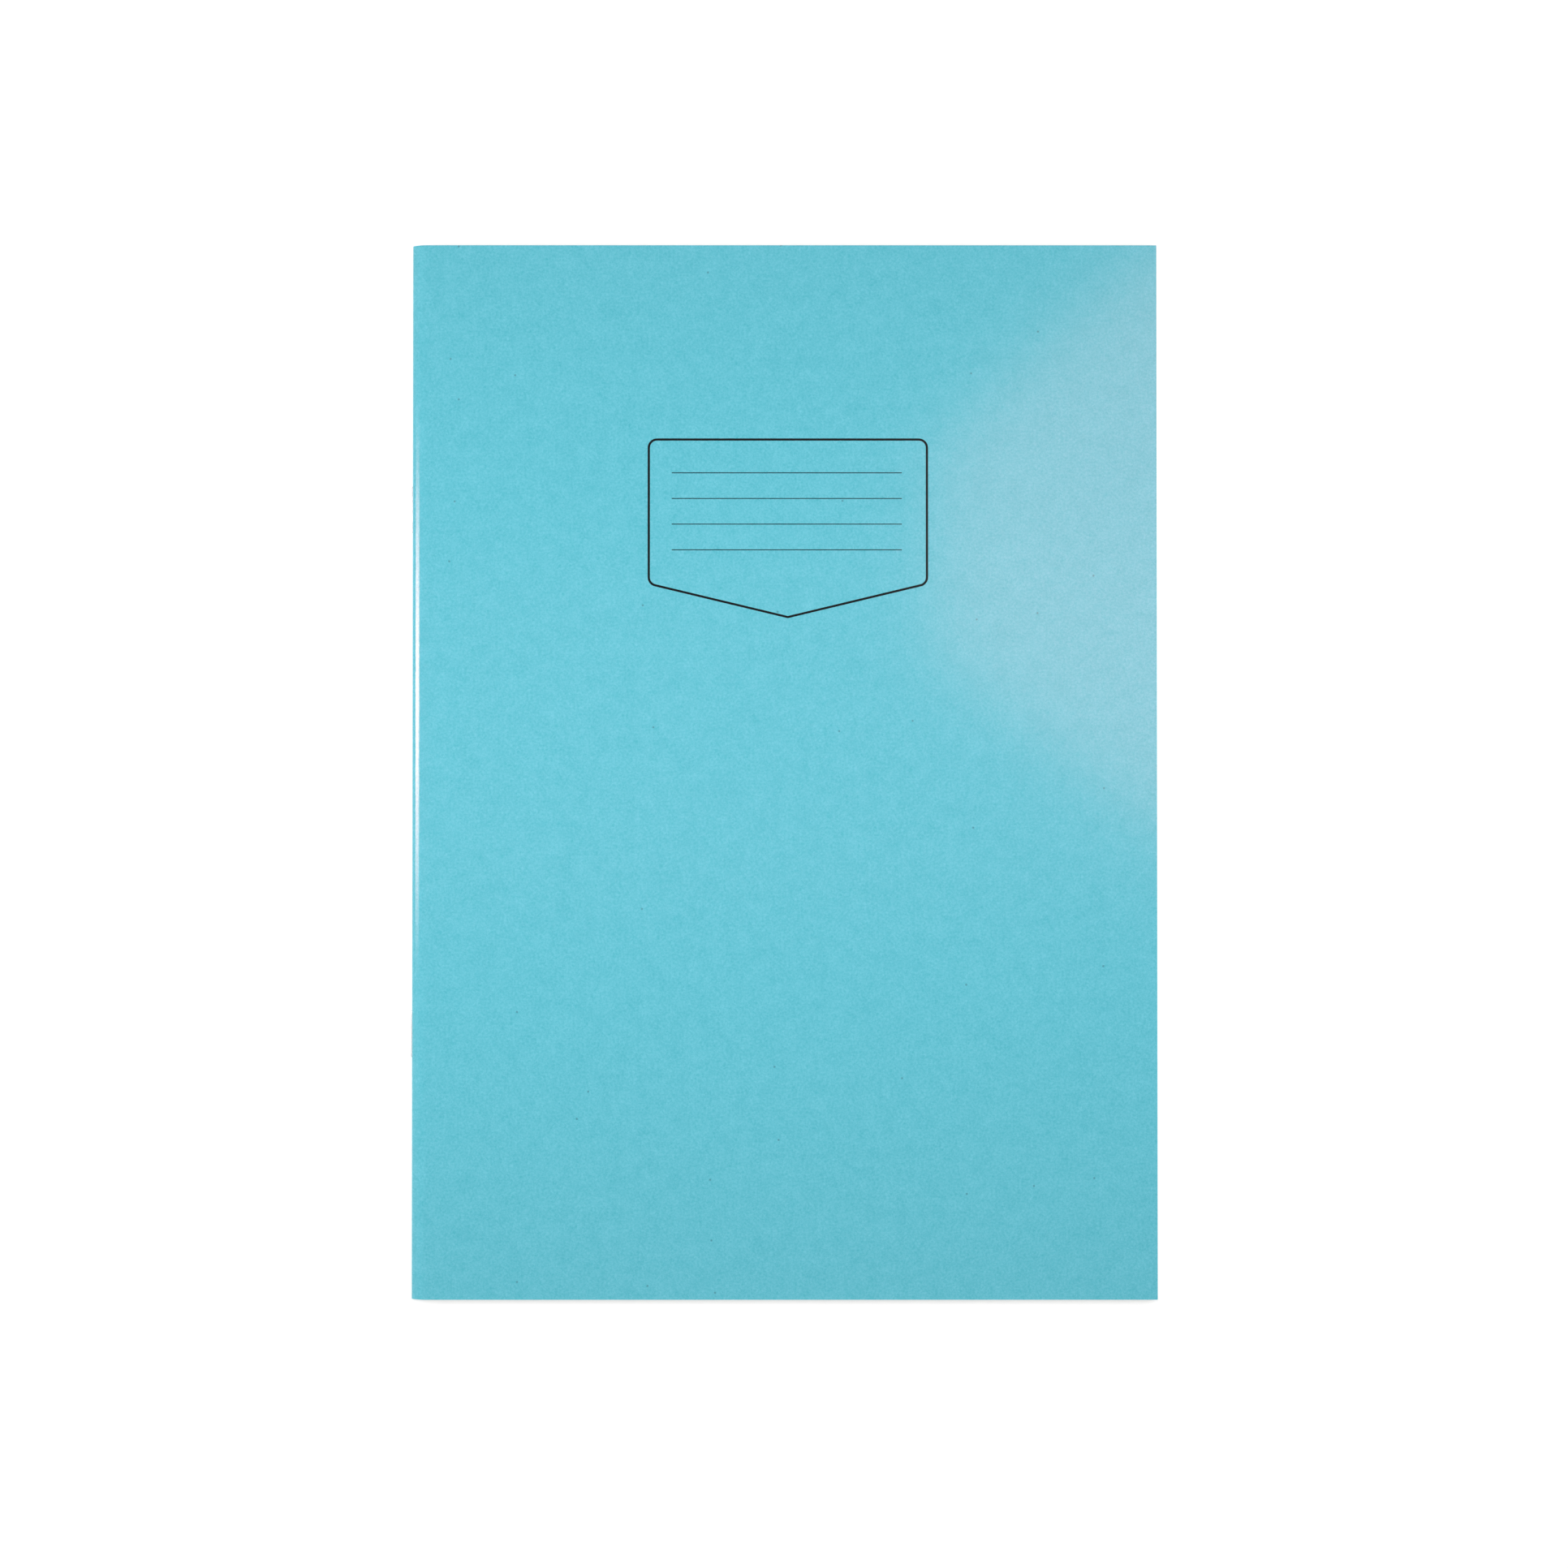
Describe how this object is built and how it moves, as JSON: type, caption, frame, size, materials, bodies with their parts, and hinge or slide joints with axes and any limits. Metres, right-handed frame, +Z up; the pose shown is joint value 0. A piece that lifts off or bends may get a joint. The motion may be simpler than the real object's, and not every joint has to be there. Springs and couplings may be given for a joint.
{
  "type": "stapled exercise book",
  "caption": "Thin A4 exercise book: one folded card cover round nested ruled sheets, held by wire staples through the spine fold; opens at the cover and at the centre spread.",
  "frame": {"origin": "middle of the underside of the closed book, lying on its back cover", "axes": "+Z up out of the front cover, +Y towards the head of the page, +X from the spine to the fore-edge"},
  "size_m": [0.2102, 0.297, 0.0051],
  "materials": {
    "card": "gloss laminate on dyed card",
    "paper": "uncoated, ruled",
    "wire": "galvanised wire"
  },
  "bodies": {
    "back_cover": {"back_cover": "card"},
    "cover_fold": {"cover_spine": "card"},
    "front_cover": {"front_cover": "card"},
    "stitch": {"sheet_folds": "paper", "staple_upper": "wire", "staple_lower": "wire"},
    "leaf_01": {"leaf_01": "paper"},
    "leaf_40": {"leaf_40": "paper"},
    "leaf_02": {"leaf_02": "paper"},
    "leaf_39": {"leaf_39": "paper"},
    "leaf_03": {"leaf_03": "paper"},
    "leaf_38": {"leaf_38": "paper"},
    "leaf_04": {"leaf_04": "paper"},
    "leaf_37": {"leaf_37": "paper"},
    "leaf_05": {"leaf_05": "paper"},
    "leaf_36": {"leaf_36": "paper"},
    "leaf_06": {"leaf_06": "paper"},
    "leaf_35": {"leaf_35": "paper"},
    "leaf_07": {"leaf_07": "paper"},
    "leaf_34": {"leaf_34": "paper"},
    "leaf_08": {"leaf_08": "paper"},
    "leaf_33": {"leaf_33": "paper"},
    "leaf_09": {"leaf_09": "paper"},
    "leaf_32": {"leaf_32": "paper"},
    "leaf_10": {"leaf_10": "paper"},
    "leaf_31": {"leaf_31": "paper"},
    "leaf_11": {"leaf_11": "paper"},
    "leaf_30": {"leaf_30": "paper"},
    "leaf_12": {"leaf_12": "paper"},
    "leaf_29": {"leaf_29": "paper"},
    "leaf_13": {"leaf_13": "paper"},
    "leaf_28": {"leaf_28": "paper"},
    "leaf_14": {"leaf_14": "paper"},
    "leaf_27": {"leaf_27": "paper"},
    "leaf_15": {"leaf_15": "paper"},
    "leaf_26": {"leaf_26": "paper"},
    "leaf_16": {"leaf_16": "paper"},
    "leaf_25": {"leaf_25": "paper"},
    "leaf_17": {"leaf_17": "paper"},
    "leaf_24": {"leaf_24": "paper"},
    "leaf_18": {"leaf_18": "paper"},
    "leaf_23": {"leaf_23": "paper"},
    "leaf_19": {"leaf_19": "paper"},
    "leaf_22": {"leaf_22": "paper"},
    "leaf_20": {"leaf_20": "paper"},
    "leaf_21": {"leaf_21": "paper"}
  },
  "joints": [
    {"name": "book_open", "type": "hinge", "parent": "back_cover", "child": "cover_fold", "pos_m": [-0.1023, 0, 0.00255], "axis": [0, -1, 0], "range_deg": [0, 179.5], "deforming": ["cover_spine", "sheet_folds"]},
    {"name": "front_cover_open", "type": "hinge", "parent": "cover_fold", "child": "front_cover", "pos_m": [-0.09885, 0, 0.0057], "axis": [0, -1, 0], "range_deg": [0, 179.5]},
    {"name": "stitch_turn", "type": "hinge", "parent": "back_cover", "child": "stitch", "pos_m": [-0.1023, 0, 0.00255], "axis": [0, -1, 0], "range_deg": [0, 90]},
    {"name": "leaf_40_turn", "type": "hinge", "parent": "back_cover", "child": "leaf_40", "pos_m": [-0.1023, 0, 0.00255], "axis": [0, -1, 0], "range_deg": [0, 0.58]},
    {"name": "leaf_01_turn", "type": "hinge", "parent": "leaf_40", "child": "leaf_01", "pos_m": [-0.1023, 0, 0.00255], "axis": [0, -1, 0], "range_deg": [0, 180]},
    {"name": "leaf_39_turn", "type": "hinge", "parent": "back_cover", "child": "leaf_39", "pos_m": [-0.1023, 0, 0.00255], "axis": [0, -1, 0], "range_deg": [0, 0.72]},
    {"name": "leaf_02_turn", "type": "hinge", "parent": "leaf_39", "child": "leaf_02", "pos_m": [-0.1023, 0, 0.00255], "axis": [0, -1, 0], "range_deg": [0, 180]},
    {"name": "leaf_38_turn", "type": "hinge", "parent": "back_cover", "child": "leaf_38", "pos_m": [-0.1023, 0, 0.00255], "axis": [0, -1, 0], "range_deg": [0, 0.91]},
    {"name": "leaf_03_turn", "type": "hinge", "parent": "leaf_38", "child": "leaf_03", "pos_m": [-0.1023, 0, 0.00255], "axis": [0, -1, 0], "range_deg": [0, 180]},
    {"name": "leaf_37_turn", "type": "hinge", "parent": "back_cover", "child": "leaf_37", "pos_m": [-0.1023, 0, 0.00255], "axis": [0, -1, 0], "range_deg": [0, 1.13]},
    {"name": "leaf_04_turn", "type": "hinge", "parent": "leaf_37", "child": "leaf_04", "pos_m": [-0.1023, 0, 0.00255], "axis": [0, -1, 0], "range_deg": [0, 180]},
    {"name": "leaf_36_turn", "type": "hinge", "parent": "back_cover", "child": "leaf_36", "pos_m": [-0.1023, 0, 0.00255], "axis": [0, -1, 0], "range_deg": [0, 1.38]},
    {"name": "leaf_05_turn", "type": "hinge", "parent": "leaf_36", "child": "leaf_05", "pos_m": [-0.1023, 0, 0.00255], "axis": [0, -1, 0], "range_deg": [0, 180]},
    {"name": "leaf_35_turn", "type": "hinge", "parent": "back_cover", "child": "leaf_35", "pos_m": [-0.1023, 0, 0.00255], "axis": [0, -1, 0], "range_deg": [0, 1.65]},
    {"name": "leaf_06_turn", "type": "hinge", "parent": "leaf_35", "child": "leaf_06", "pos_m": [-0.1023, 0, 0.00255], "axis": [0, -1, 0], "range_deg": [0, 180]},
    {"name": "leaf_34_turn", "type": "hinge", "parent": "back_cover", "child": "leaf_34", "pos_m": [-0.1023, 0, 0.00255], "axis": [0, -1, 0], "range_deg": [0, 1.95]},
    {"name": "leaf_07_turn", "type": "hinge", "parent": "leaf_34", "child": "leaf_07", "pos_m": [-0.1023, 0, 0.00255], "axis": [0, -1, 0], "range_deg": [0, 180]},
    {"name": "leaf_33_turn", "type": "hinge", "parent": "back_cover", "child": "leaf_33", "pos_m": [-0.1023, 0, 0.00255], "axis": [0, -1, 0], "range_deg": [0, 2.27]},
    {"name": "leaf_08_turn", "type": "hinge", "parent": "leaf_33", "child": "leaf_08", "pos_m": [-0.1023, 0, 0.00255], "axis": [0, -1, 0], "range_deg": [0, 180]},
    {"name": "leaf_32_turn", "type": "hinge", "parent": "back_cover", "child": "leaf_32", "pos_m": [-0.1023, 0, 0.00255], "axis": [0, -1, 0], "range_deg": [0, 2.61]},
    {"name": "leaf_09_turn", "type": "hinge", "parent": "leaf_32", "child": "leaf_09", "pos_m": [-0.1023, 0, 0.00255], "axis": [0, -1, 0], "range_deg": [0, 180]},
    {"name": "leaf_31_turn", "type": "hinge", "parent": "back_cover", "child": "leaf_31", "pos_m": [-0.1023, 0, 0.00255], "axis": [0, -1, 0], "range_deg": [0, 2.97]},
    {"name": "leaf_10_turn", "type": "hinge", "parent": "leaf_31", "child": "leaf_10", "pos_m": [-0.1023, 0, 0.00255], "axis": [0, -1, 0], "range_deg": [0, 180]},
    {"name": "leaf_30_turn", "type": "hinge", "parent": "back_cover", "child": "leaf_30", "pos_m": [-0.1023, 0, 0.00255], "axis": [0, -1, 0], "range_deg": [0, 3.36]},
    {"name": "leaf_11_turn", "type": "hinge", "parent": "leaf_30", "child": "leaf_11", "pos_m": [-0.1023, 0, 0.00255], "axis": [0, -1, 0], "range_deg": [0, 180]},
    {"name": "leaf_29_turn", "type": "hinge", "parent": "back_cover", "child": "leaf_29", "pos_m": [-0.1023, 0, 0.00255], "axis": [0, -1, 0], "range_deg": [0, 3.75]},
    {"name": "leaf_12_turn", "type": "hinge", "parent": "leaf_29", "child": "leaf_12", "pos_m": [-0.1023, 0, 0.00255], "axis": [0, -1, 0], "range_deg": [0, 180]},
    {"name": "leaf_28_turn", "type": "hinge", "parent": "back_cover", "child": "leaf_28", "pos_m": [-0.1023, 0, 0.00255], "axis": [0, -1, 0], "range_deg": [0, 4.17]},
    {"name": "leaf_13_turn", "type": "hinge", "parent": "leaf_28", "child": "leaf_13", "pos_m": [-0.1023, 0, 0.00255], "axis": [0, -1, 0], "range_deg": [0, 180]},
    {"name": "leaf_27_turn", "type": "hinge", "parent": "back_cover", "child": "leaf_27", "pos_m": [-0.1023, 0, 0.00255], "axis": [0, -1, 0], "range_deg": [0, 4.6]},
    {"name": "leaf_14_turn", "type": "hinge", "parent": "leaf_27", "child": "leaf_14", "pos_m": [-0.1023, 0, 0.00255], "axis": [0, -1, 0], "range_deg": [0, 180]},
    {"name": "leaf_26_turn", "type": "hinge", "parent": "back_cover", "child": "leaf_26", "pos_m": [-0.1023, 0, 0.00255], "axis": [0, -1, 0], "range_deg": [0, 5.05]},
    {"name": "leaf_15_turn", "type": "hinge", "parent": "leaf_26", "child": "leaf_15", "pos_m": [-0.1023, 0, 0.00255], "axis": [0, -1, 0], "range_deg": [0, 180]},
    {"name": "leaf_25_turn", "type": "hinge", "parent": "back_cover", "child": "leaf_25", "pos_m": [-0.1023, 0, 0.00255], "axis": [0, -1, 0], "range_deg": [0, 5.51]},
    {"name": "leaf_16_turn", "type": "hinge", "parent": "leaf_25", "child": "leaf_16", "pos_m": [-0.1023, 0, 0.00255], "axis": [0, -1, 0], "range_deg": [0, 180]},
    {"name": "leaf_24_turn", "type": "hinge", "parent": "back_cover", "child": "leaf_24", "pos_m": [-0.1023, 0, 0.00255], "axis": [0, -1, 0], "range_deg": [0, 5.99]},
    {"name": "leaf_17_turn", "type": "hinge", "parent": "leaf_24", "child": "leaf_17", "pos_m": [-0.1023, 0, 0.00255], "axis": [0, -1, 0], "range_deg": [0, 180]},
    {"name": "leaf_23_turn", "type": "hinge", "parent": "back_cover", "child": "leaf_23", "pos_m": [-0.1023, 0, 0.00255], "axis": [0, -1, 0], "range_deg": [0, 6.48]},
    {"name": "leaf_18_turn", "type": "hinge", "parent": "leaf_23", "child": "leaf_18", "pos_m": [-0.1023, 0, 0.00255], "axis": [0, -1, 0], "range_deg": [0, 180]},
    {"name": "leaf_22_turn", "type": "hinge", "parent": "back_cover", "child": "leaf_22", "pos_m": [-0.1023, 0, 0.00255], "axis": [0, -1, 0], "range_deg": [0, 6.98]},
    {"name": "leaf_19_turn", "type": "hinge", "parent": "leaf_22", "child": "leaf_19", "pos_m": [-0.1023, 0, 0.00255], "axis": [0, -1, 0], "range_deg": [0, 180]},
    {"name": "leaf_21_turn", "type": "hinge", "parent": "back_cover", "child": "leaf_21", "pos_m": [-0.1023, 0, 0.00255], "axis": [0, -1, 0], "range_deg": [0, 7.5]},
    {"name": "leaf_20_turn", "type": "hinge", "parent": "leaf_21", "child": "leaf_20", "pos_m": [-0.1023, 0, 0.00255], "axis": [0, -1, 0], "range_deg": [0, 180]}
  ],
  "couplings": [
    {"joint": "stitch_turn", "follows": "book_open", "ratio": 0.5},
    {"joint": "leaf_40_turn", "follows": "book_open", "ratio": 0.000436},
    {"joint": "leaf_01_turn", "follows": "book_open", "ratio": 0.99913},
    {"joint": "leaf_39_turn", "follows": "book_open", "ratio": 0.0012332},
    {"joint": "leaf_02_turn", "follows": "book_open", "ratio": 0.99753},
    {"joint": "leaf_38_turn", "follows": "book_open", "ratio": 0.0022655},
    {"joint": "leaf_03_turn", "follows": "book_open", "ratio": 0.99547},
    {"joint": "leaf_37_turn", "follows": "book_open", "ratio": 0.003488},
    {"joint": "leaf_04_turn", "follows": "book_open", "ratio": 0.99302},
    {"joint": "leaf_36_turn", "follows": "book_open", "ratio": 0.0048747},
    {"joint": "leaf_05_turn", "follows": "book_open", "ratio": 0.99025},
    {"joint": "leaf_35_turn", "follows": "book_open", "ratio": 0.0064079},
    {"joint": "leaf_06_turn", "follows": "book_open", "ratio": 0.98718},
    {"joint": "leaf_34_turn", "follows": "book_open", "ratio": 0.0080749},
    {"joint": "leaf_07_turn", "follows": "book_open", "ratio": 0.98385},
    {"joint": "leaf_33_turn", "follows": "book_open", "ratio": 0.0098656},
    {"joint": "leaf_08_turn", "follows": "book_open", "ratio": 0.98027},
    {"joint": "leaf_32_turn", "follows": "book_open", "ratio": 0.011772},
    {"joint": "leaf_09_turn", "follows": "book_open", "ratio": 0.97646},
    {"joint": "leaf_31_turn", "follows": "book_open", "ratio": 0.013788},
    {"joint": "leaf_10_turn", "follows": "book_open", "ratio": 0.97242},
    {"joint": "leaf_30_turn", "follows": "book_open", "ratio": 0.015907},
    {"joint": "leaf_11_turn", "follows": "book_open", "ratio": 0.96819},
    {"joint": "leaf_29_turn", "follows": "book_open", "ratio": 0.018124},
    {"joint": "leaf_12_turn", "follows": "book_open", "ratio": 0.96375},
    {"joint": "leaf_28_turn", "follows": "book_open", "ratio": 0.020436},
    {"joint": "leaf_13_turn", "follows": "book_open", "ratio": 0.95913},
    {"joint": "leaf_27_turn", "follows": "book_open", "ratio": 0.022839},
    {"joint": "leaf_14_turn", "follows": "book_open", "ratio": 0.95432},
    {"joint": "leaf_26_turn", "follows": "book_open", "ratio": 0.025329},
    {"joint": "leaf_15_turn", "follows": "book_open", "ratio": 0.94934},
    {"joint": "leaf_25_turn", "follows": "book_open", "ratio": 0.027904},
    {"joint": "leaf_16_turn", "follows": "book_open", "ratio": 0.94419},
    {"joint": "leaf_24_turn", "follows": "book_open", "ratio": 0.030561},
    {"joint": "leaf_17_turn", "follows": "book_open", "ratio": 0.93888},
    {"joint": "leaf_23_turn", "follows": "book_open", "ratio": 0.033296},
    {"joint": "leaf_18_turn", "follows": "book_open", "ratio": 0.93341},
    {"joint": "leaf_22_turn", "follows": "book_open", "ratio": 0.036109},
    {"joint": "leaf_19_turn", "follows": "book_open", "ratio": 0.92778},
    {"joint": "leaf_21_turn", "follows": "book_open", "ratio": 0.038997},
    {"joint": "leaf_20_turn", "follows": "book_open", "ratio": 0.92201}
  ]
}
